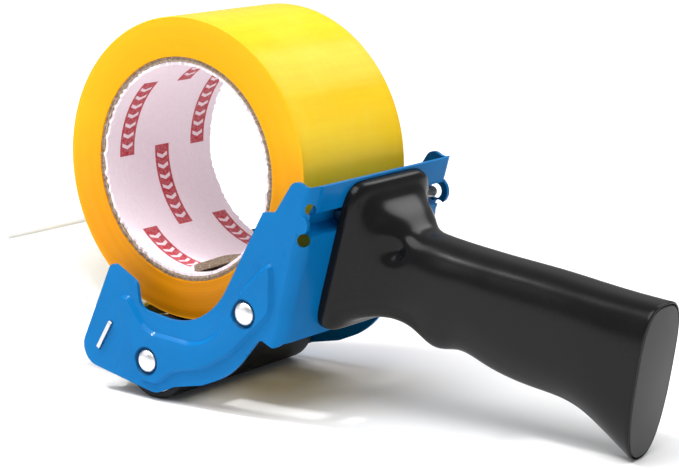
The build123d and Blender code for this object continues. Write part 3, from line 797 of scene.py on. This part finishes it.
# Stations of the handle: place along, bottom, top, half width, squareness, widest part (0 foot, 1 top).
HANDLE = [
    (0.0, back(1.3), back(58.0), 24.0, 7.0, 0.5),
    (3.4, back(1.1, 3.4), back(57.2, 3.4), 23.8, 6.0, 0.5),
    (7.0, (60.4, -52.4), (73.9, -5.0), 22.2, 4.6, 0.5),
    (13.0, (67.2, -50.2), (79.6, -10.8), 18.6, 3.3, 0.5),
    (20.0, (74.4, -50.1), (85.2, -16.2), 14.9, 2.6, 0.55),
    (28.5, (83.6, -53.2), (92.2, -18.5), 12.8, 2.3, 0.6),
    (37.5, (92.3, -58.4), (99.6, -19.7), 12.5, 2.25, 0.62),
    (46.0, (101.5, -58.0), (108.0, -21.0), 12.5, 2.25, 0.63),
    (57.5, (113.0, -61.3), (120.0, -22.6), 12.5, 2.3, 0.63),
    (79.0, (134.2, -66.5), (141.0, -25.1), 12.7, 2.4, 0.62),
    (96.5, (151.5, -70.4), (158.6, -27.8), 12.9, 2.5, 0.61),
    (108.0, (162.5, -77.4), (170.6, -29.3), 12.9, 2.55, 0.6),
    (119.0, (172.7, FLOOR), (181.8, -30.4), 12.9, 2.6, 0.6),
]
TOP_SQUARER = 0.5  # added to the squareness above the widest line
SLICE = 128  # points round the handle


def handle_rings(where, inset=0.0):
    """Cross-sections of the handle at places along it: an egg whose four quarters are superellipses.

    Each is carried by a straight line from a bottom to a top point. Returns (n, SLICE, 3) in metres."""
    keys = [row[0] for row in HANDLE]
    values = np.array([(*row[1], *row[2], *row[3:]) for row in HANDLE])
    got = spline(keys, values, where)
    bottom, rise = got[:, 0:2], got[:, 2:4] - got[:, 0:2]
    width, square, widest = got[:, 4:].T
    height = np.linalg.norm(rise, axis=1)
    up = rise / height[:, None]
    turn = np.linspace(0, 2 * np.pi, SLICE, endpoint=False)[None, :]
    c, s = np.cos(turn), np.sin(turn)
    n = np.maximum(square, 2.0)[:, None] + np.where(s > 0, TOP_SQUARER, 0.0)
    reach = (np.abs(c) ** n + np.abs(s) ** n) ** (-1 / n)
    across = (width - inset)[:, None] * reach * c
    above, below = ((share * height - inset)[:, None] for share in (1 - widest, widest))
    over = np.where(s > 0, above, below) * reach * s
    centre = bottom + rise * widest[:, None]
    a = centre[:, 0:1] + over * up[:, 0:1]
    b = centre[:, 1:2] + over * up[:, 1:2]
    points = at(np.stack([a.ravel(), b.ravel()], 1), across.ravel())
    return points.reshape(len(where), SLICE, 3)


PIT_AT = (81.5, -23.0)
PIT_R = 3.6
PIT_DEPTH = 3.0


def press_pit(points):
    """A rounded hollow pressed into each flank where the flange meets the grip.

    Its depth is PIT_DEPTH times e to the power of minus the square of the distance over PIT_R."""
    centre = at([PIT_AT])[0]
    away = np.hypot(points[..., 0] - centre[0], points[..., 2] - centre[2]) / MM
    depth = PIT_DEPTH * MM * np.exp(-((away / PIT_R) ** 2))
    flank = np.clip(np.abs(points[..., 1]) / (8 * MM), 0, 1)
    points[..., 1] -= np.sign(points[..., 1]) * depth * flank
    return points


CAP_RIM = 1.0
CAP_PROUD = 0.3
GROOVE = 0.55  # width of the groove between the lip and the cap
GROOVE_DEPTH = 1.6
LIP = 0.5  # the handle's end is rounded over this length
FLANGE_REACH = 30.0  # the first part of the handle, which bends most and gets FLANGE_RINGS rings
FLANGE_RINGS = 60


class DISPENSER_OT_handle(bpy.types.Operator):
    """Builds the moulded handle, its lip and the cap in its end"""

    bl_idname = "dispenser.handle"
    bl_label = "Handle"

    def execute(self, context):
        settings = context.scene.dispenser_handle
        top, foot = handle_rings([HANDLE[-1][0]])[0][[SLICE // 4, 3 * SLICE // 4]]
        normal = np.cross(top - foot, (0, 1, 0))
        normal *= -1 / np.linalg.norm(normal)
        self.moulding(settings, normal)
        self.cap(settings, normal)
        return {"FINISHED"}

    def moulding(self, settings, normal):
        """Rings from the flange to the end, then a rounded lip and a mouth that goes in behind the cap."""
        length = HANDLE[-1][0]
        flange = np.linspace(0, FLANGE_REACH, FLANGE_RINGS, endpoint=False)
        grip = np.linspace(FLANGE_REACH, length - LIP, settings.rings - FLANGE_RINGS)
        rings = press_pit(handle_rings(np.concatenate([flange, grip])))
        lip = [handle_rings([length - LIP * 0.3], 0.12), handle_rings([length], 0.4)]
        edge = handle_rings([length], CAP_RIM - GROOVE / 2)
        mouth = [edge, edge - normal * GROOVE_DEPTH * MM]
        piece = stacked_piece("moulded_handle", np.concatenate([rings, *lip, *mouth]), 50.0)
        look = (settings.plastic, settings.gloss, 1400.0, 0.000012, 0.05)
        black = fine_grain("satin black plastic", *look, Specular_IOR_Level=0.2)
        finish_piece(piece, "frame", "handle_plastic", black, "handle_shell")

    def cap(self, settings, normal):
        """The end's outline drawn in, from inside the mouth to a rounded edge just proud of it."""
        side = CAP_RIM + GROOVE / 2
        outline = [
            (side + 0.1, -GROOVE_DEPTH + 0.1),
            (side, CAP_PROUD - 0.35),
            (side + 0.12, CAP_PROUD - 0.1),
            (side + 0.4, CAP_PROUD),
        ]
        length = HANDLE[-1][0]
        steps = [handle_rings([length], inset)[0] + normal * rise * MM for inset, rise in outline]
        piece = stacked_piece("end_cap", np.array(steps))
        look = (settings.cap, 0.55, 800.0, 0.00002)
        grey = fine_grain("dull grey plastic", *look, Specular_IOR_Level=0.25)
        finish_piece(piece, "frame", "cap_plastic", grey, "handle_end_cap")


PLY_SPAN = (-90.5, -47.0)  # degrees from the loose end of the core's inner ply to where it lies flat
PLY_NEAR = (-26.3, -28.6)  # mm across of its near edge at those two places
PLY_DEEP = 3.0  # mm across where its lift has run out
PLY_CHORD = (-36.2, 0.374)  # its lifted edge, seen from the side: height at the end, and slope
PLY_THICK = 2.8
RIM = 0.35  # rounding of the wound tape's rim


def face_values(piece, key):
    """One vector for each face: its center or its normal."""
    values = np.empty(len(piece.data.polygons) * 3)
    piece.data.polygons.foreach_get(key, values)
    return values.reshape(-1, 3)


def second_material(piece, chosen):
    """Gives the chosen faces the piece's second material."""
    piece.data.polygons.foreach_set("material_index", chosen.astype(np.int32))


class DISPENSER_OT_roll(bpy.types.Operator):
    """Builds the roll: wound film, board core, printed lining and the lifted end of its inner ply"""

    bl_idname = "dispenser.roll"
    bl_label = "Roll of tape"

    def execute(self, context):
        settings = context.scene.dispenser_tape
        self.wound(settings)
        self.core(settings)
        return {"FINISHED"}

    def wound(self, settings):
        """A ring whose flat faces have slightly uneven layers and whose rim is barely rounded."""
        steps = np.linspace(CORE_R + 0.4, TAPE_R - 0.5, 60)
        uneven = 0.03 * np.sin(steps * 1.1) + 0.012 * np.sin(steps * 5.3 + 1.0)
        near = np.stack([steps[::-1], TAPE_HALF - 0.08 + uneven[::-1]], 1)
        far = np.stack([steps, -TAPE_HALF + 0.08 - uneven], 1)
        rim_far = arc((TAPE_R - RIM, -TAPE_HALF + RIM), RIM, 270, 360, 5)
        rim_near = arc((TAPE_R - RIM, TAPE_HALF - RIM), RIM, 0, 90, 5)
        tread = np.stack([np.full(25, TAPE_R), np.linspace(-TAPE_HALF + 1, TAPE_HALF - 1, 25)], 1)
        bore = np.array([(CORE_R, TAPE_HALF - 0.2), (CORE_R, -TAPE_HALF + 0.2)])
        profile = np.concatenate([near, bore, far, rim_far, tread, rim_near])

        def shape(angle, radius, across):
            push = np.where(radius > TAPE_R - 0.1, 1, 1 + 0.0004 * np.sin(3 * angle + 0.4))
            return radius * push, across + 0.03 * np.sin(2 * angle + radius)

        piece = revolve("wound_tape", profile, ROLL, 256, True, shape)
        finish_piece(piece, "tape_roll", "tape_film", tape_side(settings.side), "tape_wound")
        piece.data.materials.append(tape_outside(settings.outside))
        centres = face_values(piece, "center")
        away = np.hypot(centres[:, 0] - ROLL.x, centres[:, 2] - ROLL.z) / MM
        second_material(piece, away > TAPE_R - 0.12)

    def core(self, settings):
        """The board ring has a torn, fibrous edge; the lining stops short of it in a ragged line."""
        profile = ring_profile(LINING_R + 0.02, CORE_R - 0.02, TAPE_HALF - 0.25, 0.3, 4)

        def fray(angle, radius, across):
            rough = 0.14 * waves(angle, 3, 40, 190, 24) + 0.06 * waves(angle, 4, 8, 30)
            face = np.abs(across) > TAPE_HALF - 1
            return radius, across + np.sign(across) * np.where(face, rough - 0.1, 0.0)

        board = revolve("board_core", profile, ROLL, 720, True, fray)
        finish_piece(board, "tape_roll", "cardboard", grey_board(), "tape_core")
        self.lining(settings)
        self.lifted_ply(settings)

    def lifted_ply(self, settings):
        """The inner ply's loose end: stiff board that spans the bore in a straight line at its near edge.

        Its height over the bore is that line's, times (1 - share across) ** 1.3, and it is PLY_THICK thick
        or less, down to the bore."""
        counts = (60, 24, 5)
        along, deep, up = np.meshgrid(*(np.linspace(0, 1, count) for count in counts), indexing="ij")
        turn = np.radians(PLY_SPAN[0] + along * (PLY_SPAN[1] - PLY_SPAN[0]))
        near = PLY_NEAR[0] + along * (PLY_NEAR[1] - PLY_NEAR[0])
        chord = PLY_CHORD[0] / (np.sin(turn) - PLY_CHORD[1] * np.cos(turn))
        height = np.maximum(BORE_R - chord, 0) * (1 - along**8) * (1 - deep) ** 1.3 + 0.06
        foot = np.maximum(height - PLY_THICK, 0)
        radius = BORE_R - 0.02 - foot - up * (height - foot)
        y = near + deep * (PLY_DEEP - near)
        turn = turn - np.radians(1.2 * np.sin(np.pi * up) * (along == 0))
        rough = 0.12 * waves(turn * 12 + up * 7, 21, 3, 30) * (deep == 0)
        points = round_axis(ROLL, turn, radius, y + rough).reshape(-1, 3)
        ids = np.arange(len(points)).reshape(counts)
        sides = (ids[:, :, -1], ids[:, 0], ids[:, -1], ids[0], ids[-1], ids[:, :, 0])
        corners = [(side[:-1, :-1], side[1:, :-1], side[1:, 1:], side[:-1, 1:]) for side in sides]
        quads = np.concatenate([np.stack(four, -1).reshape(-1, 4) for four in corners])
        piece = mesh_piece("lifted_inner_ply", points, quads, (), 35.0)
        finish_piece(piece, "tape_roll", "cardboard", bpy.data.materials["core board"])
        look = (settings.paper, 0.6, 700.0, 0.00004, 0.05, 0.04)
        piece.data.materials.append(fine_grain("plain lining paper", *look, Specular_IOR_Level=0.2))
        level = face_values(piece, "normal")[:, 2] > 0.6
        loose_end = face_values(piece, "center")[:, 0] < ROLL.x + 0.9 * MM
        second_material(piece, level | loose_end)

    def lining(self, settings):
        """A thin cylinder of paper from seam to seam, with ragged edges.

        Its UV map holds the share of the way round and the mm across."""
        turns, rows = 721, 12
        turn = np.radians(SEAM_AT + np.linspace(0, 360, turns))
        ragged = [0.21 * waves(turn, k, 25, 120, 20) + 0.12 * waves(turn, k + 5, 5, 18) for k in (11, 12)]
        low = -TAPE_HALF + 0.55 + ragged[0]
        high = TAPE_HALF - 0.55 + ragged[1]
        y = low[:, None] + np.linspace(0, 1, rows) * (high - low)[:, None]
        there_and_back = np.concatenate([y, y[:, ::-1]], 1)
        radius = np.repeat([BORE_R, LINING_R], rows)
        grid = round_axis(ROLL, turn[:, None], radius, there_and_back)
        share = np.broadcast_to(np.linspace(0, 1, turns)[:, None], there_and_back.shape)
        uv = np.stack([share, there_and_back], -1).reshape(-1, 2)
        piece = stacked_piece("paper_lining", grid, 40.0, uv)
        paper = printed_paper(settings.paper, settings.ink)
        finish_piece(piece, "tape_roll", "liner_paper", paper, "core_liner")


FILM_THICK = 0.1
FILM_AT = 0.28  # the film's middle, this far off the rubber


class DISPENSER_OT_free_tape(bpy.types.Operator):
    """Builds the free end of the tape, from the nip round the rubber roller and straight to the blade"""

    bl_idname = "dispenser.free_tape"
    bl_label = "Free end of the tape"

    def execute(self, context):
        centre = ((FRONT.x - ROLL.x) / MM, (FRONT.z - ROLL.z) / MM)
        low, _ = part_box("tape_leader")
        wrap = arc(centre, ROLLER_R + FILM_AT, 90.0, 135.0, 24)
        run = wrap[-1][0] - ((low.x - ROLL.x) / MM + FILM_THICK)
        line = np.concatenate([wrap, wrap[-1] - np.linspace(0, run, 14)[1:, None]])
        piece = across_strip("free_tape", ribbon(line, FILM_THICK), TAPE_HALF)
        clear = dict(Transmission_Weight=0.6, IOR=1.47, Coat_Weight=0.3)
        film = fine_grain("single tape film", (0.98, 0.86, 0.42), 0.12, 300.0, 0.00002, 0.05, 0.05, **clear)
        finish_piece(piece, "frame", "tape_film", film, "tape_leader")
        return {"FINISHED"}


CAMERA_AT = (0.46555, -0.61115, 0.21703)
CAMERA_TURN = (37.222, 11.441, -0.357)  # degrees: azimuth, look down, roll
CAMERA_LENS = 114.7
FLOOR_HALF = 6.0
LIGHT_TARGET = Vector((0.02, 0.0, 0.05))
# Area lights: name, place, size and power.
AREA_LIGHTS = (
    ("left", (-0.9, -0.9, 0.7), 0.6, 2.6),
    ("crease", (-0.5, -0.3, 0.85), 0.1, 5.5),
    ("far", (0.15, 0.75, 0.75), 0.45, 2.0),
)
SUN_FROM = (0.2, -0.38, 1.2)
SUN_SPREAD = math.radians(50)


class DISPENSER_OT_stage(bpy.types.Operator):
    """Builds the pale floor, the soft lights and the camera"""

    bl_idname = "dispenser.stage"
    bl_label = "Stage"

    def execute(self, context):
        settings = context.scene.dispenser_stage
        self.floor(settings)
        self.lights(context.scene, settings)
        self.camera(context.scene)
        return {"FINISHED"}

    def floor(self, settings):
        """A large flat floor under the object."""
        corners = np.array([(-1, -1, 0), (1, -1, 0), (1, 1, 0), (-1, 1, 0)])
        piece = mesh_piece("floor", corners * FLOOR_HALF, np.array([[0, 1, 2, 3]]))
        look = (settings.floor, 0.7, 60.0, 0.000005, 0.01, 0.004)
        piece.data.materials.append(fine_grain("pale floor", *look, Specular_IOR_Level=0.3))

    def lights(self, scene, settings):
        """A white backdrop that lights only gently, a large soft light above and three weaker ones."""
        world = bpy.data.worlds.new("white surround")
        world.use_nodes = True
        tree = world.node_tree
        background = tree.nodes["Background"]
        background.inputs["Color"].default_value = (1.0, 1.0, 1.0, 1.0)
        seen = add(tree, "LightPath").outputs["Is Camera Ray"]
        tree.links.new(remap(tree, seen, 0.0, 1.0, settings.sky, 1.0), background.inputs["Strength"])
        scene.world = world
        sun = self.lamp(scene, "key", "SUN", SUN_FROM, settings.key)
        sun.angle = SUN_SPREAD
        for name, place, size, power in AREA_LIGHTS:
            self.lamp(scene, name, "AREA", place, power).size = size

    def lamp(self, scene, name, kind, place, power):
        """A light at a place, turned to the object; returns its data."""
        light = bpy.data.lights.new(name, kind)
        light.energy = power
        lamp = bpy.data.objects.new(name, light)
        lamp.location = place
        lamp.rotation_euler = (LIGHT_TARGET - Vector(place)).to_track_quat("-Z", "Y").to_euler()
        scene.collection.objects.link(lamp)
        return light

    def camera(self, scene):
        """The camera's axes from its azimuth, its look down and a small roll."""
        turn, down, roll = (math.radians(value) for value in CAMERA_TURN)
        look = Vector((-math.sin(turn) * math.cos(down), math.cos(turn) * math.cos(down), -math.sin(down)))
        level = Vector((math.cos(turn), math.sin(turn), 0.0))
        upright = level.cross(look)
        right = level * math.cos(roll) + upright * math.sin(roll)
        up = upright * math.cos(roll) - level * math.sin(roll)
        data = bpy.data.cameras.new("camera")
        data.sensor_width = 36.0
        data.lens = CAMERA_LENS
        data.clip_end = 50.0
        camera = bpy.data.objects.new("camera", data)
        axes = Matrix((right, up, -look)).transposed().to_4x4()
        camera.matrix_world = Matrix.Translation(CAMERA_AT) @ axes
        scene.collection.objects.link(camera)
        scene.camera = camera


OPERATORS = (
    DISPENSER_OT_stage,
    DISPENSER_OT_frame,
    DISPENSER_OT_fasteners,
    DISPENSER_OT_rollers,
    DISPENSER_OT_flap,
    DISPENSER_OT_handle,
    DISPENSER_OT_roll,
    DISPENSER_OT_free_tape,
)


class DISPENSER_PT_panel(bpy.types.Panel):
    """Lists the builders and their settings"""

    bl_idname = "DISPENSER_PT_panel"
    bl_label = "Tape dispenser"
    bl_space_type = "VIEW_3D"
    bl_region_type = "UI"
    bl_category = "Dispenser"

    def draw(self, context):
        for operator in OPERATORS:
            self.layout.operator(operator.bl_idname)
        for attribute, group in SETTINGS.items():
            box = self.layout.box()
            for key in group.__annotations__:
                box.prop(getattr(context.scene, attribute), key)


def register():
    """Registers the settings, the operators and the panel."""
    for attribute, group in SETTINGS.items():
        bpy.utils.register_class(group)
        setattr(bpy.types.Scene, attribute, PointerProperty(type=group))
    for cls in (*OPERATORS, DISPENSER_PT_panel):
        bpy.utils.register_class(cls)


def unregister():
    """Takes them out again."""
    for cls in (DISPENSER_PT_panel, *OPERATORS):
        bpy.utils.unregister_class(cls)
    for attribute, group in SETTINGS.items():
        delattr(bpy.types.Scene, attribute)
        bpy.utils.unregister_class(group)


def main():
    """Builds everything in order."""
    register()
    moulded_skin_group()
    drawn_metal_group()
    bpy.context.scene.view_settings.view_transform = "Standard"
    for operator in OPERATORS:
        group, name = operator.bl_idname.split(".")
        getattr(getattr(bpy.ops, group), name)()


if __name__ == "__main__":
    main()
